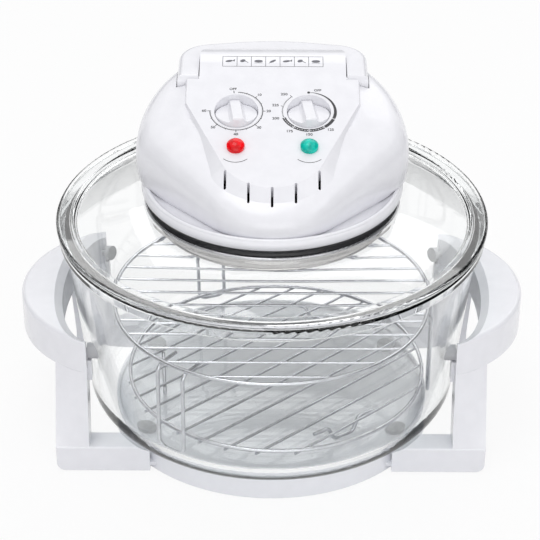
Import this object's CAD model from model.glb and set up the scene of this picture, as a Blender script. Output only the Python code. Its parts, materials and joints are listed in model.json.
"""Looks of the halogen oven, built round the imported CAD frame. Metres, +Z up, the panel faces -Y."""
import json
import math

import bmesh
import bpy
from mathutils import Matrix, Vector


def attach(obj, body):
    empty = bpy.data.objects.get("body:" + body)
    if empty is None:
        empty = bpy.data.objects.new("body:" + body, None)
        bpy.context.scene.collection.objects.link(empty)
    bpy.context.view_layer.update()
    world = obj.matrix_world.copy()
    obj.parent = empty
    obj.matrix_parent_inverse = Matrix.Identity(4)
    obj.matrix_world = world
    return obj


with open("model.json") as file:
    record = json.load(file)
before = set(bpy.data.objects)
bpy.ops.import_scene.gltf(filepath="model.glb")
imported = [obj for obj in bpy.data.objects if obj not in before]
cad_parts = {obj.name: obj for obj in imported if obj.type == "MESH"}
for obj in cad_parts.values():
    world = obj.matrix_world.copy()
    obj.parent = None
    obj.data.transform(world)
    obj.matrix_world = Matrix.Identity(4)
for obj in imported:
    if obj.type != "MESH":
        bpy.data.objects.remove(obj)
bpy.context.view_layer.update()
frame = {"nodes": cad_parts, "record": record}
nodes = frame["nodes"]
bpy.context.scene.view_settings.view_transform = "Standard"
MM = 0.001

# ---------------------------------------------------------------- places on the object, in mm
PANEL_Z = 272.8            # height of the panel face above the middle of the stand
PANEL_TILT = math.radians(19.0)
INK_LIFT = 0.08            # printing lies this far above the plastic
INK_SPREAD = 0.07          # and its letters' strokes are this much thicker to each side
ROLL_V = 50.0              # behind this line the panel rolls down
ROLL_RADIUS = 44.0
DIAL_X = 27.75
DIAL_V = -1.5
LAMP_V = -39.3
SCALE_RADIUS = 20.3
TIMER_TURN = 4.5           # degrees on the timer's dial for each minute
TIMER_LINE = 0.28          # half the width of its ring
TIMER_TICKS = (            # a stroke every so many minutes, from and to the ring, and its width
    (10, -0.9, 2.0, 0.5),
    (5, -0.9, 0.9, 0.45),
    (1, -0.85, 0.0, 0.36),
)
THERMOSTAT_BLOCKS = ((146, 179), (181, 214), (216, 250))   # open blocks of its ring, in degrees
BLOCK_GAPS = 6             # gaps across each of them
THERMOSTAT_NUMBERS = (     # number, degrees on the dial, distance out from the ring
    (125, 140, 5.0), (150, 180, 4.2), (175, 215, 5.6),
    (200, 253, 6.2), (225, 284, 6.0), (250, 314, 6.0),
)
NUMBER_SIZE = 3.5
OFF_SIZE = 3.2
SMILE_V = LAMP_V - 2.5     # middle of the curved strokes by the lamps
SMILE_RADIUS = 13.0
SMILE_WIDTH = 0.5
SMILE_ARC = (138, 222)     # degrees, clockwise from the rear
STRIP_HALF = 39.3          # half the length of the strip behind the dials
STRIP_LOW = 47.4           # its front and rear edges in the panel's plane
STRIP_HIGH = 59.6
STRIP_CELLS = 7
STRIP_LINE = 0.2           # half the width of its lines
STRIP_STEPS = 12           # runs in each upright line of the strip, to follow the roll

# ---------------------------------------------------------------- surfaces and light
NOISE_RANGE = (0.3, 0.7)   # the part of the noise's values that carries nearly all of it
BUMP_DEPTH = 0.0002        # metres
WORLD_LIGHT = 0.65         # what the white world gives to matt surfaces
FLOOR_WHITE = 0.88         # share of plain white in the floor; the rest keeps the shadow
FLOOR_RADIUS = 4.0         # metres
LAMP_AIM = (0, 0, 0.15)    # metres

# ---------------------------------------------------------------- camera, from the photograph
FOCAL_PX = 1862.0
DISTANCE = 1500.0
ELEVATION = math.radians(31.28)
AIM_Z = 129.3
CENTRE_PX = 271.8
ROLL = math.radians(0.30)
IMAGE_PX = 540.0
SENSOR = 36.0


def make_camera():
    """The camera that the photograph was taken from, as fitted."""
    data = bpy.data.cameras.new("camera")
    data.sensor_width = SENSOR
    data.lens = FOCAL_PX * SENSOR / IMAGE_PX
    data.shift_x = (IMAGE_PX / 2 - CENTRE_PX) / IMAGE_PX
    forward = Vector((0, math.cos(ELEVATION), -math.sin(ELEVATION)))
    side = Vector((1, 0, 0))
    up = Vector((0, math.sin(ELEVATION), math.cos(ELEVATION)))
    right = side * math.cos(ROLL) + up * math.sin(ROLL)
    top = up * math.cos(ROLL) - side * math.sin(ROLL)
    camera = bpy.data.objects.new("camera", data)
    place = Matrix((right, top, -forward)).transposed().to_4x4()
    place.translation = (Vector((0, 0, AIM_Z)) - forward * DISTANCE) * MM
    camera.matrix_world = place
    bpy.context.scene.collection.objects.link(camera)
    bpy.context.scene.camera = camera


# ---------------------------------------------------------------- materials
def new_material(name):
    """A node material, with its tree and its main shader."""
    material = bpy.data.materials.new(name)
    material.use_nodes = True
    tree = material.node_tree
    shader = tree.nodes["Principled BSDF"]
    return material, tree, shader


def link(tree, source, target):
    tree.links.new(source, target)


def noise(tree, scale, detail=3.0, stretch=None):
    """Noise in the object's own space, as a node."""
    coords = tree.nodes.new("ShaderNodeTexCoord")
    texture = tree.nodes.new("ShaderNodeTexNoise")
    texture.inputs["Scale"].default_value = scale
    texture.inputs["Detail"].default_value = detail
    if stretch:
        mapping = tree.nodes.new("ShaderNodeMapping")
        mapping.inputs["Scale"].default_value = stretch
        link(tree, coords.outputs["Object"], mapping.inputs["Vector"])
        link(tree, mapping.outputs["Vector"], texture.inputs["Vector"])
    else:
        link(tree, coords.outputs["Object"], texture.inputs["Vector"])
    return texture


def spread(tree, texture, low, high):
    """The texture's value, moved to the range low to high."""
    ramp = tree.nodes.new("ShaderNodeMapRange")
    ramp.inputs["From Min"].default_value, ramp.inputs["From Max"].default_value = NOISE_RANGE
    ramp.inputs["To Min"].default_value = low
    ramp.inputs["To Max"].default_value = high
    link(tree, texture.outputs["Fac"], ramp.inputs["Value"])
    return ramp.outputs["Result"]


def tinted(tree, texture, dark, light):
    """A colour between dark and light by the texture's value."""
    mix = tree.nodes.new("ShaderNodeMix")
    mix.data_type = "RGBA"
    mix.inputs["A"].default_value = (*dark, 1)
    mix.inputs["B"].default_value = (*light, 1)
    link(tree, spread(tree, texture, 0, 1), mix.inputs["Factor"])
    return mix.outputs["Result"]


def bump(tree, texture, shader, strength):
    """Let the texture stir the shader's surface a little."""
    node = tree.nodes.new("ShaderNodeBump")
    node.inputs["Strength"].default_value = strength
    node.inputs["Distance"].default_value = BUMP_DEPTH
    link(tree, texture.outputs["Fac"], node.inputs["Height"])
    link(tree, node.outputs["Normal"], shader.inputs["Normal"])


def solid_look(name, dark, light, rough, metallic=0.0, grain=60.0, grain_bump=0.02, stretch=None):
    """An opaque finish with slight changes of tone, roughness and surface."""
    material, tree, shader = new_material(name)
    texture = noise(tree, grain, stretch=stretch)
    link(tree, tinted(tree, texture, dark, light), shader.inputs["Base Color"])
    link(tree, spread(tree, texture, *rough), shader.inputs["Roughness"])
    shader.inputs["Metallic"].default_value = metallic
    bump(tree, texture, shader, grain_bump)
    return material


def glass_look(name, tint, density, rough=0.0):
    """Clear glass that lets shadow rays through and takes on its tint where it is thick."""
    material, tree, shader = new_material(name)
    shader.inputs["Base Color"].default_value = (1, 1, 1, 1)
    shader.inputs["Transmission Weight"].default_value = 1.0
    shader.inputs["IOR"].default_value = 1.47
    texture = noise(tree, 9.0, 2.0)
    link(tree, spread(tree, texture, rough, rough + 0.012), shader.inputs["Roughness"])
    output = tree.nodes["Material Output"]
    path = tree.nodes.new("ShaderNodeLightPath")
    clear = tree.nodes.new("ShaderNodeBsdfTransparent")
    clear.inputs["Color"].default_value = (0.93, 0.95, 0.95, 1)
    mix = tree.nodes.new("ShaderNodeMixShader")
    link(tree, path.outputs["Is Shadow Ray"], mix.inputs["Fac"])
    link(tree, shader.outputs["BSDF"], mix.inputs[1])
    link(tree, clear.outputs["BSDF"], mix.inputs[2])
    link(tree, mix.outputs["Shader"], output.inputs["Surface"])
    volume = tree.nodes.new("ShaderNodeVolumeAbsorption")
    volume.inputs["Color"].default_value = (*tint, 1)
    volume.inputs["Density"].default_value = density
    link(tree, volume.outputs["Volume"], output.inputs["Volume"])
    return material


def lens_look(name, deep, bright, glow):
    """Coloured lens, uneven in depth of colour, with a faint glow."""
    material, tree, shader = new_material(name)
    texture = noise(tree, 240.0, 1.0)
    link(tree, tinted(tree, texture, deep, bright), shader.inputs["Base Color"])
    shader.inputs["Roughness"].default_value = 0.2
    shader.inputs["Specular IOR Level"].default_value = 0.3
    shader.inputs["Coat Weight"].default_value = 0.1
    shader.inputs["Emission Color"].default_value = (*bright, 1)
    shader.inputs["Emission Strength"].default_value = glow
    return material


white_plastic = solid_look(
    "white_plastic", (0.80, 0.80, 0.84), (0.83, 0.83, 0.87), (0.20, 0.27), grain=90.0, grain_bump=0.015
)
plastic_shader = white_plastic.node_tree.nodes["Principled BSDF"]
plastic_shader.inputs["Coat Weight"].default_value = 0.25
plastic_shader.inputs["Coat Roughness"].default_value = 0.08
grey_plastic = solid_look(
    "grey_plastic", (0.30, 0.30, 0.31), (0.36, 0.36, 0.37), (0.45, 0.6), grain_bump=0.1
)
grey_rubber = solid_look(
    "grey_rubber", (0.40, 0.40, 0.42), (0.48, 0.48, 0.50), (0.55, 0.7), grain_bump=0.1
)
black_rubber = solid_look(
    "black_rubber", (0.010, 0.010, 0.012), (0.02, 0.02, 0.023), (0.35, 0.5), grain_bump=0.08
)
chrome = solid_look("chrome", (0.56, 0.55, 0.54), (0.66, 0.65, 0.65), (0.14, 0.24), 1.0, 30.0)
steel = solid_look(
    "steel", (0.55, 0.55, 0.57), (0.66, 0.66, 0.68), (0.22, 0.32), 1.0, 40.0, stretch=(1, 1, 12)
)
wire_metal = solid_look("wire_metal", (0.50, 0.51, 0.54), (0.62, 0.63, 0.66), (0.14, 0.24), 1.0, 120.0)
aluminium = solid_look("aluminium", (0.62, 0.62, 0.64), (0.72, 0.72, 0.74), (0.28, 0.42), 1.0, 80.0)
ceramic = solid_look("ceramic", (0.74, 0.71, 0.64), (0.82, 0.79, 0.72), (0.6, 0.75), grain_bump=0.12)
painted_steel = solid_look("painted_steel", (0.16, 0.16, 0.17), (0.20, 0.20, 0.21), (0.35, 0.5))
ink = solid_look(
    "ink", (0.012, 0.012, 0.014), (0.03, 0.03, 0.035), (0.4, 0.55), grain=400.0, grain_bump=0.0
)
grey_ink = solid_look(
    "grey_ink", (0.10, 0.10, 0.12), (0.16, 0.16, 0.18), (0.4, 0.55), grain=400.0, grain_bump=0.0
)
clear_glass = glass_look("clear_glass", (0.35, 0.58, 0.62), 3.0)
lamp_glass = glass_look("lamp_glass", (0.9, 0.8, 0.6), 4.0, 0.05)
red_lens = lens_look("red_lens", (0.50, 0.0, 0.003), (0.86, 0.001, 0.006), 0.16)
green_lens = lens_look("green_lens", (0.0, 0.28, 0.23), (0.001, 0.55, 0.44), 0.16)
card_grey = solid_look(
    "card_grey", (0.02, 0.025, 0.03), (0.03, 0.035, 0.04), (0.8, 0.9), grain=3.0, grain_bump=0.0
)

FINISHES = {
    "white_plastic": white_plastic, "grey_plastic": grey_plastic, "grey_rubber": grey_rubber,
    "black_rubber": black_rubber, "chrome": chrome, "steel": steel, "plated_wire": wire_metal,
    "aluminium": aluminium, "ceramic": ceramic, "painted_steel": painted_steel,
    "clear_glass": clear_glass, "lamp_glass": lamp_glass, "red_lens": red_lens, "green_lens": green_lens,
}


def dress_nodes():
    """Give every CAD node the finish that the record names for it."""
    for part in frame["record"]["subparts"]:
        piece = nodes[part["node"]]
        piece.data.materials.clear()
        piece.data.materials.append(FINISHES[part["material_slot"]])
        for face in piece.data.polygons:
            face.material_index = 0


# ---------------------------------------------------------------- printing on the panel
def on_panel(u, v, w=0.0):
    """A place in metres for a point in the panel's own plane, in mm; behind ROLL_V it follows the roll."""
    if v > ROLL_V:
        w += math.sqrt(ROLL_RADIUS**2 - (v - ROLL_V) ** 2) - ROLL_RADIUS
    y = v * math.cos(PANEL_TILT) - w * math.sin(PANEL_TILT)
    z = PANEL_Z + v * math.sin(PANEL_TILT) + w * math.cos(PANEL_TILT)
    return Vector((u, y, z)) * MM


def printed(name, shapes, material, body="lid"):
    """Flat printing on the panel: each shape is a list of (u, v) corners."""
    mesh = bpy.data.meshes.new(name)
    bm = bmesh.new()
    for shape in shapes:
        bm.faces.new([bm.verts.new(on_panel(u, v, INK_LIFT)) for u, v in shape])
    bmesh.ops.recalc_face_normals(bm, faces=bm.faces)
    up = on_panel(0, 0, 1) - on_panel(0, 0, 0)
    for face in bm.faces:
        if face.normal.dot(up) < 0:
            face.normal_flip()
    bm.to_mesh(mesh)
    bm.free()
    mesh.materials.append(material)
    piece = bpy.data.objects.new(name, mesh)
    bpy.context.scene.collection.objects.link(piece)
    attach(piece, body)


def clock(centre, radius, degrees):
    """A point on a dial, in degrees clockwise from its rear."""
    angle = math.radians(degrees)
    return (centre[0] + radius * math.sin(angle), centre[1] + radius * math.cos(angle))


def band(centre, inner, outer, start, end, step=3.0):
    """Quads along a ring from start to end degrees; inner and outer may change with the angle."""
    count = max(1, round(abs(end - start) / step))
    shapes = []
    for i in range(count):
        a = start + (end - start) * i / count
        b = start + (end - start) * (i + 1) / count
        low = inner(a) if callable(inner) else inner, inner(b) if callable(inner) else inner
        high = outer(a) if callable(outer) else outer, outer(b) if callable(outer) else outer
        shapes.append([
            clock(centre, low[0], a), clock(centre, high[0], a),
            clock(centre, high[1], b), clock(centre, low[1], b),
        ])
    return shapes


def tick(centre, inner, outer, degrees, width):
    """A short radial stroke on a dial."""
    half = math.degrees(width / 2 / ((inner + outer) / 2))
    return [
        clock(centre, inner, degrees - half), clock(centre, outer, degrees - half),
        clock(centre, outer, degrees + half), clock(centre, inner, degrees + half),
    ]


def lettering(name, words, centre, size, body="lid"):
    """Words or numbers lying on the panel, centred at (u, v)."""
    curve = bpy.data.curves.new(name, "FONT")
    curve.body = words
    curve.size = size * MM
    curve.offset = INK_SPREAD * MM
    curve.align_x = "CENTER"
    curve.align_y = "CENTER"
    curve.materials.append(ink)
    piece = bpy.data.objects.new(name, curve)
    place = Matrix.Rotation(PANEL_TILT, 4, "X")
    place.translation = on_panel(*centre, INK_LIFT)
    piece.matrix_world = place
    bpy.context.scene.collection.objects.link(piece)
    bpy.context.view_layer.update()
    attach(piece, body)


def print_timer():
    """The timer's ring of minutes, with its numbers and the OFF stroke just before the start."""
    centre = (-DIAL_X, DIAL_V)
    radius = SCALE_RADIUS
    shapes = band(centre, radius - TIMER_LINE, radius + TIMER_LINE, 3, 270)
    shapes.append(tick(centre, radius - 1.0, radius + 1.6, -6, 0.6))
    for minute in range(1, 61):
        inner, outer, width = next(row[1:] for row in TIMER_TICKS if minute % row[0] == 0)
        shapes.append(tick(centre, radius + inner, radius + outer, minute * TIMER_TURN, width))
    printed("timer_scale", shapes, ink)
    for minute in range(10, 61, 10):
        u, v = clock(centre, radius + 4.4, minute * TIMER_TURN)
        lettering(f"timer_number_{minute}", str(minute), (u, v), NUMBER_SIZE)
    lettering("timer_off", "OFF", clock(centre, radius + 3.6, -7), OFF_SIZE)


def print_thermostat():
    """The thermostat's ring: a dot, a swelling arc, thick blocks, a dotted arc and the numbers."""
    centre = (DIAL_X, DIAL_V)
    radius = SCALE_RADIUS
    dot = [clock(clock(centre, radius, 0), 1.15, a) for a in range(0, 360, 20)]
    shapes = [dot]

    def swell(a):
        """Half the width of the arc at an angle."""
        return 0.18 + 1.0 * min(1.0, a / 100.0)

    shapes += band(centre, lambda a: radius - swell(a), lambda a: radius + swell(a), 4, 112)
    shapes += band(centre, radius - 1.3, radius + 1.3, 114, 144)
    for start, end in THERMOSTAT_BLOCKS:
        shapes += band(centre, radius + 0.35, radius + 1.35, start, end)
        shapes += band(centre, radius - 1.35, radius - 0.35, start, end)
        step = (end - start) / BLOCK_GAPS
        for i in range(BLOCK_GAPS + 1):
            middle = start + i * step
            low, high = max(start, middle - step * 0.22), min(end, middle + step * 0.22)
            shapes += band(centre, radius - 0.36, radius + 0.36, low, high, 6.0)
    for i in range(18):
        shapes.append(tick(centre, radius - 0.45, radius + 0.45, 254 + i * 3.9, 0.7))
    for degrees in (285, 320):
        shapes.append(tick(centre, radius - 0.5, radius + 2.0, degrees, 0.5))
    printed("thermostat_scale", shapes, ink)
    for number, degrees, out in THERMOSTAT_NUMBERS:
        u, v = clock(centre, radius + out, degrees)
        lettering(f"thermostat_number_{number}", str(number), (u, v), NUMBER_SIZE)
    lettering("thermostat_off", "OFF", clock(centre, radius + 3.4, 17), OFF_SIZE)


def print_smiles():
    """The curved stroke in front of each indicator lamp."""
    shapes = []
    for side in (-1, 1):
        centre = (side * DIAL_X, SMILE_V)
        shapes += band(centre, SMILE_RADIUS, SMILE_RADIUS + SMILE_WIDTH, *SMILE_ARC)
    printed("lamp_strokes", shapes, ink)


def oval(u, v, a, b, turn=0.0):
    """Corners of an oval with half axes a and b, turned about its middle."""
    corners = []
    for i in range(24):
        t = 2 * math.pi * i / 24
        x, y = a * math.cos(t), b * math.sin(t)
        corners.append((
            u + x * math.cos(turn) - y * math.sin(turn),
            v + x * math.sin(turn) + y * math.cos(turn),
        ))
    return corners


# plain drawings of things to cook, each a list of shapes about the middle of its cell
FISH = [oval(-0.6, 0, 2.9, 1.2, 0.2), [(1.9, 0.5), (4.0, 2.3), (3.7, -0.7)]]
DRUMSTICK = [oval(-1.1, 0.4, 2.2, 1.6, 0.5), [(0.5, -0.2), (0.8, 0.3), (3.4, -1.6), (3.1, -2.1)]]
LOAF = [oval(0, 0, 3.4, 1.5), [(-3.2, -2.3), (3.2, -2.3), (3.2, -1.9), (-3.2, -1.9)]]
LEAF = [oval(0, 0, 3.0, 1.1, 0.6), [(-3.3, -2.6), (-2.9, -2.8), (-1.6, -1.2), (-2.0, -0.9)]]
DRAWINGS = (FISH, DRUMSTICK, LOAF, LEAF)


def print_strip():
    """A strip of framed cells behind the dials, each with a plain drawing of something to cook."""
    low, high, line = STRIP_LOW, STRIP_HIGH, STRIP_LINE
    width = 2 * STRIP_HALF / STRIP_CELLS
    step = (high - low) / STRIP_STEPS
    lines = []
    for i in range(STRIP_CELLS + 1):
        u = -STRIP_HALF + i * width
        for k in range(STRIP_STEPS):
            a, b = low + k * step, low + (k + 1) * step
            lines.append([(u - line, a), (u + line, a), (u + line, b), (u - line, b)])
    for v in (low, high):
        lines.append([
            (-STRIP_HALF, v - line), (STRIP_HALF, v - line), (STRIP_HALF, v + line), (-STRIP_HALF, v + line)
        ])
    printed("strip_frame", lines, grey_ink)

    shapes = []
    middle = (low + high) / 2
    for i in range(STRIP_CELLS):
        centre = -STRIP_HALF + (i + 0.5) * width
        for shape in DRAWINGS[i % len(DRAWINGS)]:
            shapes.append([(centre + u, middle + v) for u, v in shape])
    printed("strip_drawings", shapes, grey_ink)


# ---------------------------------------------------------------- surroundings
def seen_rays(tree):
    """1 for rays from the camera, from reflections and through glass, else 0."""
    path = tree.nodes.new("ShaderNodeLightPath")
    value = path.outputs["Is Camera Ray"]
    for name in ("Is Glossy Ray", "Is Transmission Ray"):
        larger = tree.nodes.new("ShaderNodeMath")
        larger.operation = "MAXIMUM"
        link(tree, value, larger.inputs[0])
        link(tree, path.outputs[name], larger.inputs[1])
        value = larger.outputs["Value"]
    return value


def make_floor():
    """A white floor that keeps a soft part of the object's shadow."""
    mesh = bpy.data.meshes.new("floor")
    bm = bmesh.new()
    bmesh.ops.create_circle(bm, cap_ends=True, radius=FLOOR_RADIUS, segments=96)
    bm.to_mesh(mesh)
    bm.free()
    floor = bpy.data.objects.new("floor", mesh)
    bpy.context.scene.collection.objects.link(floor)
    material, tree, shader = new_material("floor")
    shader.inputs["Base Color"].default_value = (0.85, 0.85, 0.86, 1)
    shader.inputs["Roughness"].default_value = 0.7
    shader.inputs["Specular IOR Level"].default_value = 0.1
    plain = tree.nodes.new("ShaderNodeEmission")
    plain.inputs["Color"].default_value = (1, 1, 1, 1)
    plain.inputs["Strength"].default_value = 1.0
    share = tree.nodes.new("ShaderNodeMath")
    share.operation = "MULTIPLY"
    share.inputs[1].default_value = FLOOR_WHITE
    link(tree, seen_rays(tree), share.inputs[0])
    mix = tree.nodes.new("ShaderNodeMixShader")
    link(tree, share.outputs["Value"], mix.inputs["Fac"])
    link(tree, shader.outputs["BSDF"], mix.inputs[1])
    link(tree, plain.outputs["Emission"], mix.inputs[2])
    link(tree, mix.outputs["Shader"], tree.nodes["Material Output"].inputs["Surface"])
    mesh.materials.append(material)


def make_world():
    """White all round, at full strength where it is seen and at a plain level as light."""
    world = bpy.data.worlds.new("studio")
    bpy.context.scene.world = world
    world.use_nodes = True
    tree = world.node_tree
    background = tree.nodes["Background"]
    background.inputs["Color"].default_value = (1, 1, 1, 1)
    background.inputs["Strength"].default_value = WORLD_LIGHT
    seen = tree.nodes.new("ShaderNodeBackground")
    seen.inputs["Color"].default_value = (1, 1, 1, 1)
    seen.inputs["Strength"].default_value = 1.0
    mix = tree.nodes.new("ShaderNodeMixShader")
    link(tree, seen_rays(tree), mix.inputs["Fac"])
    link(tree, background.outputs["Background"], mix.inputs[1])
    link(tree, seen.outputs["Background"], mix.inputs[2])
    link(tree, mix.outputs["Shader"], tree.nodes["World Output"].inputs["Surface"])


def dark_card(name, low, high):
    """A dark card met only by reflections and by rays through glass, which gives both their edges."""
    mesh = bpy.data.meshes.new(name)
    bm = bmesh.new()
    corners = [
        (low[0], low[1], low[2]), (high[0], high[1], low[2]),
        (high[0], high[1], high[2]), (low[0], low[1], high[2]),
    ]
    bm.faces.new([bm.verts.new(corner) for corner in corners])
    bm.to_mesh(mesh)
    bm.free()
    mesh.materials.append(card_grey)
    card = bpy.data.objects.new(name, mesh)
    bpy.context.scene.collection.objects.link(card)
    card.visible_camera = False
    card.visible_diffuse = False
    card.visible_shadow = False


def area_light(name, place, size, power):
    """A rectangular lamp at a place, turned to the middle of the object."""
    data = bpy.data.lights.new(name, "AREA")
    data.shape = "RECTANGLE"
    data.size, data.size_y = size
    data.energy = power
    light = bpy.data.objects.new(name, data)
    direction = Vector(LAMP_AIM) - Vector(place)
    light.rotation_euler = direction.to_track_quat("-Z", "Y").to_euler()
    light.location = place
    bpy.context.scene.collection.objects.link(light)


make_camera()
dress_nodes()
print_timer()
print_thermostat()
print_smiles()
print_strip()
make_floor()
make_world()
dark_card("card_left", (-1.3, -1.2, 0.05), (-1.0, 0.9, 1.1))
dark_card("card_right", (1.3, -1.2, 0.05), (1.0, 0.9, 1.1))
dark_card("card_rear", (-1.2, 1.5, 0.3), (1.2, 1.5, 0.75))
area_light("key", (-0.3, -0.3, 2.2), (1.2, 1.2), 12.0)
area_light("fill", (1.6, -0.8, 1.4), (1.0, 1.4), 3.0)
area_light("front", (0.1, -2.2, 0.8), (2.0, 1.2), 9.0)
area_light("rear", (0.2, 1.5, 1.7), (2.0, 1.0), 8.0)
